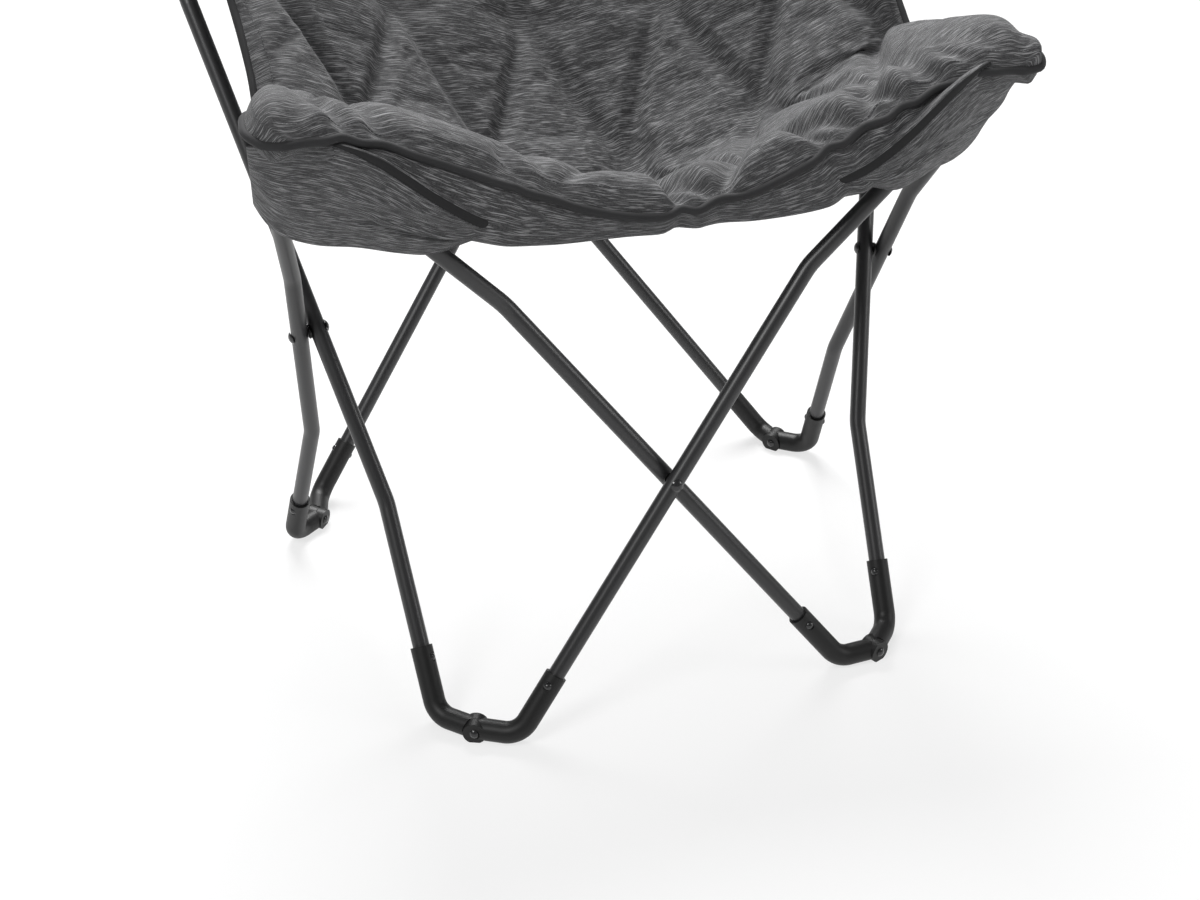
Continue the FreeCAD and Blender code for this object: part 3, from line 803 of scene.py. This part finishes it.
def along_path(name, tree, points, finish, **sizes):
    """Runs a tree on a path and keeps the result as a plain mesh"""
    curve = bpy.data.curves.new(name + "_path", "CURVE")
    curve.dimensions = "3D"
    spline = curve.splines.new("POLY")
    spline.points.add(len(points) - 1)
    for point, place in zip(spline.points, points):
        point.co = (*place, 1.0)
    guide = new_piece(name + "_path", curve)
    modifier = guide.modifiers.new("tree", "NODES")
    modifier.node_group = tree
    for socket in tree.interface.items_tree:
        if socket.in_out == "INPUT" and socket.name.lower() in sizes:
            modifier[socket.identifier] = sizes[socket.name.lower()]
        if socket.in_out == "INPUT" and socket.name == "Finish":
            modifier[socket.identifier] = finish
    bpy.context.view_layer.update()
    shown = guide.evaluated_get(bpy.context.evaluated_depsgraph_get())
    mesh = bpy.data.meshes.new_from_object(shown)
    mesh.name = name
    bpy.data.objects.remove(guide)
    return new_piece(name, mesh)


def stitch_row(name, points, finish):
    tree = bpy.data.node_groups.get("stitch_row") or stitch_tree()
    return along_path(name, tree, points, finish)


def corded_edge(name, points, radius, finish):
    tree = bpy.data.node_groups.get("corded_edge") or corded_tree()
    return along_path(name, tree, points, finish, radius=radius)


class CHAIR_OT_frame(bpy.types.Operator):
    """Gives every tube, elbow, rivet and spacer of the frame its finish"""

    bl_idname = "chair.frame"
    bl_label = "Finish the frame"

    def execute(self, context):
        colours = context.scene.chair_frame
        finishes = {
            "tube": powder_coat(colours.coat),
            "elbow": moulded_plastic("moulded_elbow", colours.plastic),
            "cap": moulded_plastic("moulded_cap", colours.plastic),
            "spacer": moulded_plastic("moulded_spacer", colours.plastic, 0.34),
            "rivet": lacquered_rivet(colours.rivet),
        }
        kinds = (("_rivet", "rivet"), ("_pin_", "rivet"), ("_spacer", "spacer"), ("_cap_", "cap"),
                 ("_elbow_", "elbow"), ("_tube_", "tube"))
        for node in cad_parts:
            kind = next((k for word, k in kinds if word in node), None)
            if kind:
                shape = bpy.data.objects[node]
                shape.data.materials.clear()
                shape.data.materials.append(finishes[kind])
        return {"FINISHED"}


class CHAIR_OT_cover(bpy.types.Operator):
    """Sews, fills and quilts the sling cover"""

    bl_idname = "chair.cover"
    bl_label = "Sew the cover"

    def execute(self, context):
        cover = context.scene.chair_cover
        sling = Sling(cover)
        top, under = sling.sewn()
        top, under = finer(top), finer(under)
        for rim in RIM:
            under[rim] = top[rim]
        normals, under_normals = grid_normals(top), -grid_normals(under)
        rim_normals(normals, under_normals)
        sling.final = (top, under, normals, under_normals)
        sling.weave = [measured(sheet, 2 * sling.crease_row) for sheet in (top, under)]
        cloth = melange_cloth(cover.dark, cover.light)
        centre = (top.shape[1] - 1) // 2
        crease = 2 * sling.crease_row
        last = top.shape[0] - 1
        strip = 2 * int(np.searchsorted(sling.along, sling.crease + BEND_LENGTH))
        low = cover_piece("cover_bend", sling, (crease, strip), (0, top.shape[1] - 1), cloth)
        dress_cover("back_pad")
        bend_low(low)
        for side, columns in (("left", (0, centre)), ("right", (centre, top.shape[1] - 1))):
            seat = cover_piece("cover_seat_" + side, sling, (0, crease), columns, cloth)
            dress_cover("seat_pad")
            gather_seat(seat, side)
            back = cover_piece("cover_back_" + side, sling, (strip, last), columns, cloth)
            dress_cover("back_pad")
            gather_back(back, side)
            self.piping(top, side, crease, strip, cover)
        return {"FINISHED"}

    def piping(self, top, side, crease, strip, cover):
        """The corded edge, from the front middle round one side to the top middle"""
        trim = named_finish("trim_cloth", trim_cloth, cover.trim)
        centre = (top.shape[1] - 1) // 2
        half = top[:, :centre + 1] if side == "left" else top[:, :centre - 1:-1]
        front = np.concatenate((half[0, ::-1], half[1:crease + 1, 0]))
        middle = half[crease:strip + 1, 0]
        back = np.concatenate((half[strip:, 0], half[-1, 1:]))
        thread = named_finish("sewing_thread", thread_finish, cover.thread)
        beside = SEAM_POINTS
        seam = np.concatenate((half[beside, :beside:-1], half[beside:crease + 1, beside]))
        bend_seam = half[crease:strip + 1, beside]
        back_seam = np.concatenate((half[strip:-beside, beside], half[-1 - beside, beside + 1:]))
        for name, path, sewn, node, fit in (("seat", front, seam, "seat_piping", gather_seat),
                                            ("bend", middle, bend_seam, "back_piping", None),
                                            ("back", back, back_seam, "back_piping", gather_back)):
            cord = corded_edge("piping_%s_%s" % (name, side), path, cover.piping_radius, trim)
            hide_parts(node)
            stitches = stitch_row("piping_stitch_%s_%s" % (name, side), sewn, thread)
            for piece in (cord, stitches):
                if fit:
                    fit(piece, side)
                else:
                    bend_low(piece)


def dress_cover(node):
    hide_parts(node)


def gather_seat(piece, side):
    """Hands gather the rates at which a front corner would be drawn in with its pocket; the piece only has its
    placement baked in
    """
    front = SLING[0]
    crease = SLING[CREASE]
    across = 1 / front.half_width
    along = across * crease.half_width / (crease.y - front.y)
    gather(piece, "front_pocket_" + side, side, (0.0, front.y, front.z), (-across, -along, 0.0))


def gather_back(piece, side):
    """Hands gather the rates at which a top corner would be drawn in with its pocket, clear of the bend; the
    piece only has its placement baked in
    """
    top = SLING[-1]
    crease = SLING[CREASE]
    slope = np.array((0.0, top.y - crease.y, top.z - crease.z))
    length = np.linalg.norm(slope)
    slope /= length
    across = 1 / top.half_width
    still = BEND_LENGTH + BEND_SIDE_RISE
    along = across * SLING[CREASE + 2].half_width / (length - still)
    gather(piece, "back_pocket_" + side, side, (0.0, top.y, top.z),
           (-across, along * slope[1], along * slope[2]))


def gather(piece, drawn, side, start, rate):
    """Bakes a piece's placement into its mesh; the pocket is not used, and the end point worked out from start
    and the rate per metre goes no further
    """
    rate = np.array(rate) * (MIRROR if side == "right" else 1)
    end = np.array(start) + rate / (rate @ rate)
    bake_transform(piece)


def bend_low(piece):
    """Bakes the placement of a piece at the bend between seat and back rest, above the crease, into its mesh
    """
    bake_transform(piece)


def pocket_sheets(cut, rows=24, columns=50):
    """The outer and the inner sheet of a left pocket, pushed clear of the tube ends between them"""
    mouth = sampled(cut.mouth, columns)
    upper = sampled(cut.upper, columns)
    a = np.linspace(0, 1, columns)[None, :, None]
    b = np.linspace(0, 1, rows)[:, None, None]
    base = mouth * (1 - b) + upper * b
    outward = np.array(cut.outward) / np.linalg.norm(cut.outward)
    swell = cut.depth * (1 - np.abs(2 * a - 1) ** 5) * np.sqrt(np.clip(1 - b ** 3, 0, 1))
    sheets = []
    for sign in (1, -1):
        sheet = base + sign * swell * outward
        for _ in range(SETTLE_ROUNDS):
            sheet = clear_of_tubes(sheet, cut.tubes, outward, sign)
            inner = sheet[1:-1, 1:-1]
            around = (sheet[:-2, 1:-1] + sheet[2:, 1:-1] + sheet[1:-1, :-2] + sheet[1:-1, 2:]) / 4
            sheet[1:-1, 1:-1] = inner * 0.4 + around * 0.6
        sheets.append(clear_of_tubes(sheet, cut.tubes, outward, sign))
    return sheets


def clear_of_tubes(sheet, tubes, outward, sign, room=TUBE_ROOM):
    """Moves points that lie inside a tube's room out to its surface"""
    sheet = sheet.copy()
    for tip, run in tubes:
        run = np.array(run) / np.linalg.norm(run)
        side = np.cross(run, outward)
        side /= np.linalg.norm(side)
        away = sheet - np.array(tip)
        across = away @ side
        height = (away @ outward) * sign
        along = away @ run
        reach = np.where(along > 0, np.hypot(across, along), across)
        needed = np.sqrt(np.clip(room ** 2 - reach ** 2, 0, None))
        lift = np.clip(needed - height, 0, None) * (needed > 0) * (along < room) * (height > -3 * room)
        sheet += sign * lift[:, :, None] * outward
    return sheet


def creased(sheet, cut):
    """Soft folds across the outer sheet of a pocket"""
    rows, columns = sheet.shape[:2]
    a = np.linspace(0, 1, columns)[None, :]
    b = np.linspace(0, 1, rows)[:, None]
    here = np.stack(np.broadcast_arrays(a, b), axis=2)
    height = 0.0007 * np.sin(9.0 * a + 4.0 * b + 0.6) + 0.0005 * np.sin(17.0 * a - 6.0 * b + 2.0)
    for start, end, rise, width in POCKET_FOLDS:
        away = Sling.segment_distance(here, start, end)
        height = height + rise * np.exp(-(away / width) ** 2)
    fade = step_between(0.0, 0.12, a) * step_between(1.0, 0.9, a) * step_between(1.0, 0.85, b)
    return sheet + (height * fade)[:, :, None] * np.array(cut.outward)


def sheet_piece(name, sheets, thickness, finish, mirrored):
    """One bag of an outer and an inner sheet, open at the mouth, with a real thickness"""
    outer, inner = sheets
    rows, columns = outer.shape[:2]
    index = np.arange(rows * columns).reshape(rows, columns)
    inner_index = index + rows * columns
    for rim in RIM[1:]:
        inner_index[rim] = index[rim]
    faces = np.concatenate((quads(index), quads(inner_index)[:, ::-1]))
    points = np.concatenate((outer.reshape(-1, 3), inner.reshape(-1, 3)))
    if mirrored:
        points = points * MIRROR
        faces = faces[:, ::-1]
    across = travelled(outer[0])
    along = travelled(outer[:, columns // 2])
    weave = np.stack(np.broadcast_arrays(across[None, :], along[:, None]), axis=2).reshape(-1, 2)
    return shell(name, points, faces, np.concatenate((weave, weave)), thickness, finish)


def shell(name, points, faces, weave, thickness, finish):
    """A mesh of given thickness from one layer of faces"""
    used, number = numbered(len(points), faces)
    mesh = bpy.data.meshes.new(name)
    mesh.from_pydata(points[used].tolist(), [], number[faces].tolist())
    corner = np.empty(len(mesh.loops), int)
    mesh.loops.foreach_get("vertex_index", corner)
    mesh.uv_layers.new(name="weave").data.foreach_set("uv", weave[used][corner].ravel())
    piece = new_piece(name, mesh, finish)
    wall = piece.modifiers.new("wall", "SOLIDIFY")
    wall.thickness = thickness
    wall.offset = 0.0
    smooth = piece.modifiers.new("smooth", "SUBSURF")
    smooth.levels = smooth.render_levels = 1
    bpy.context.view_layer.update()
    shown = piece.evaluated_get(bpy.context.evaluated_depsgraph_get())
    final = bpy.data.meshes.new_from_object(shown)
    final.polygons.foreach_set("use_smooth", [True] * len(final.polygons))
    piece.modifiers.clear()
    piece.data = final
    final.name = name
    return piece


def bound_strip(cut, outer, width):
    """The band of the outer sheet that the binding covers, a little proud of it"""
    outward = np.array(cut.outward) / np.linalg.norm(cut.outward)
    columns = outer.shape[1]
    if cut.bound == "upper":
        near = outer[::-1, :round(columns * BAND_SHARE)]
    else:
        near = outer[:, 2:-2]
    steps = np.linalg.norm(np.diff(near, axis=0), axis=2)
    depth = np.concatenate((np.zeros((1, near.shape[1])), np.cumsum(steps, axis=0)))
    count = near.shape[1]
    tuck = np.ones(count)
    if cut.bound == "upper":
        tuck = np.clip((count - 1 - np.arange(count)) / (BAND_TUCK * count), 0.1, 1)
    strip = []
    for share in (-0.12, 0.15, 0.5, 0.85, 1.0):
        reach = share * width * tuck
        row = [[np.interp(reach[c], depth[:, c], near[:, c, k]) for k in range(3)] for c in range(count)]
        strip.append(np.array(row) + outward * (BAND_RISE + 0.0008 * (1 - abs(2 * share - 1))))
    return np.array(strip)


class CHAIR_OT_pockets(bpy.types.Operator):
    """Sews the four corner pockets and binds their edges"""

    bl_idname = "chair.pockets"
    bl_label = "Sew the pockets"

    def execute(self, context):
        cover = context.scene.chair_cover
        cloth = named_finish("melange_cloth", melange_cloth, cover.dark, cover.light)
        tape = named_finish("binding_tape", binding_tape, cover.trim)
        thread = named_finish("sewing_thread", thread_finish, cover.thread)
        for place, cut in (("front", FRONT_POCKET), ("back", BACK_POCKET)):
            outer, inner = pocket_sheets(cut)
            outer = creased(finer(outer), cut)
            inner = finer(inner)
            strip = bound_strip(cut, outer, cover.binding_width)
            for side in SIDES:
                mirrored = side == "right"
                body = "%s_pocket_%s" % (place, side)
                bag = sheet_piece("cover_" + body, (outer, inner), POCKET_CLOTH, cloth, mirrored)
                band = self.band("binding_%s_%s" % (place, side), strip, tape, mirrored)
                seam = (strip[3] + np.array(cut.outward) * BAND_RISE) * (MIRROR if mirrored else 1)
                seam = stitch_row("binding_stitch_%s_%s" % (place, side), seam, thread)
                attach(seam, body)
                for piece, node, slot in ((bag, body, "seat_fabric"),
                                          (band, "%s_pocket_binding_%s" % (place, side), "edge_binding")):
                    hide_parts(node)
                    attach(piece, body)
        return {"FINISHED"}

    def band(self, name, strip, finish, mirrored):
        rows, columns = strip.shape[:2]
        faces = quads(np.arange(rows * columns).reshape(rows, columns))
        points = strip.reshape(-1, 3)
        if mirrored:
            points = points * MIRROR
            faces = faces[:, ::-1]
        weave = np.zeros((len(points), 2))
        return shell(name, points, faces, weave, BAND_CLOTH, finish)


def aimed(start, target):
    """The rotation that points a lamp or a camera from start to target"""
    return (Vector(target) - Vector(start)).to_track_quat("-Z", "Y").to_euler()


class CHAIR_OT_stage(bpy.types.Operator):
    """Sets the floor, the soft lights and the camera"""

    bl_idname = "chair.stage"
    bl_label = "Set the stage"

    def execute(self, context):
        stage = context.scene.chair_stage
        self.floor(stage)
        self.world()
        for lamp in LAMPS:
            self.lamp(*lamp)
        self.camera(stage)
        context.scene.view_settings.view_transform = "Standard"
        return {"FINISHED"}

    def floor(self, stage):
        mesh = bpy.data.meshes.new("floor")
        corners = [(x * FLOOR_HALF, y * FLOOR_HALF, 0) for x, y in ((-1, -1), (1, -1), (1, 1), (-1, 1))]
        mesh.from_pydata(corners, [], [(0, 1, 2, 3)])
        finish = Finish("pale_floor")
        speckle = finish.noise(finish.place(), 40.0, 2.0)
        shade = finish.mix(speckle, toned(stage.floor, 0.985), stage.floor)
        finish.set(base_color=shade, roughness=0.9, specular=0.1)
        self.brighten(finish)
        new_piece("floor", mesh, finish.material)

    def brighten(self, finish):
        """Shows the floor nearly white to the camera and in reflections, and keeps the shadow"""
        seen = finish.add("ShaderNodeLightPath", output="Is Camera Ray")
        glossy = finish.add("ShaderNodeLightPath", output="Is Glossy Ray")
        glow = finish.add("ShaderNodeEmission", {}, {"Color": (1.0, 1.0, 1.0), "Strength": 1.0})
        share = finish.add("ShaderNodeMath", {"operation": "MAXIMUM"}, {0: seen, 1: glossy}) * FLOOR_GLOW
        surface = Value(finish, finish.surface.outputs[0])
        mixed = finish.add("ShaderNodeMixShader", {}, {0: share, 1: surface, 2: glow})
        finish.feed(finish.output.inputs["Surface"], mixed)

    def world(self):
        world = bpy.data.worlds.new("studio")
        world.use_nodes = True
        bpy.context.scene.world = world
        tree = world.node_tree
        tree.nodes.clear()
        output = tree.nodes.new("ShaderNodeOutputWorld")
        light = tree.nodes.new("ShaderNodeBackground")
        light.inputs["Strength"].default_value = ROOM_LIGHT
        white = tree.nodes.new("ShaderNodeBackground")
        for background in (light, white):
            background.inputs["Color"].default_value = (1.0, 1.0, 1.0, 1.0)
        path = tree.nodes.new("ShaderNodeLightPath")
        mixed = tree.nodes.new("ShaderNodeMixShader")
        tree.links.new(path.outputs["Is Camera Ray"], mixed.inputs[0])
        tree.links.new(light.outputs[0], mixed.inputs[1])
        tree.links.new(white.outputs[0], mixed.inputs[2])
        tree.links.new(mixed.outputs[0], output.inputs["Surface"])

    def lamp(self, name, place, size, power):
        data = bpy.data.lights.new(name, "AREA")
        data.shape = "SQUARE"
        data.size = size
        data.energy = power
        lamp = new_piece(name, data)
        lamp.location = place
        lamp.rotation_euler = aimed(place, LAMP_AIM)

    def camera(self, stage):
        data = bpy.data.cameras.new("camera")
        camera = new_piece("camera", data)
        data.lens = stage.lens
        data.sensor_width = 36.0
        data.shift_x, data.shift_y = stage.shift
        data.clip_end = 60.0
        camera.location = stage.camera
        camera.rotation_euler = aimed(stage.camera, stage.target)
        bpy.context.scene.camera = camera


class CHAIR_PT_sidebar(bpy.types.Panel):
    """Lists the steps that build the chair"""

    bl_idname = "CHAIR_PT_sidebar"
    bl_label = "Butterfly Chair"
    bl_space_type = "VIEW_3D"
    bl_region_type = "UI"
    bl_category = "Chair"

    def draw(self, context):
        for step in STEPS:
            self.layout.operator(step.bl_idname)


STEPS = (CHAIR_OT_frame, CHAIR_OT_cover, CHAIR_OT_pockets, CHAIR_OT_stage)
GROUPS = {"chair_cover": ChairCover, "chair_frame": ChairFrame, "chair_stage": ChairStage}


def register():
    for name, group in GROUPS.items():
        bpy.utils.register_class(group)
        setattr(bpy.types.Scene, name, PointerProperty(type=group))
    for item in (*STEPS, CHAIR_PT_sidebar):
        bpy.utils.register_class(item)


def unregister():
    for item in (CHAIR_PT_sidebar, *reversed(STEPS)):
        bpy.utils.unregister_class(item)
    for name, group in GROUPS.items():
        delattr(bpy.types.Scene, name)
        bpy.utils.unregister_class(group)


def main():
    register()
    bpy.ops.chair.frame()
    bpy.ops.chair.cover()
    bpy.ops.chair.pockets()
    bpy.ops.chair.stage()


if __name__ == "__main__":
    main()
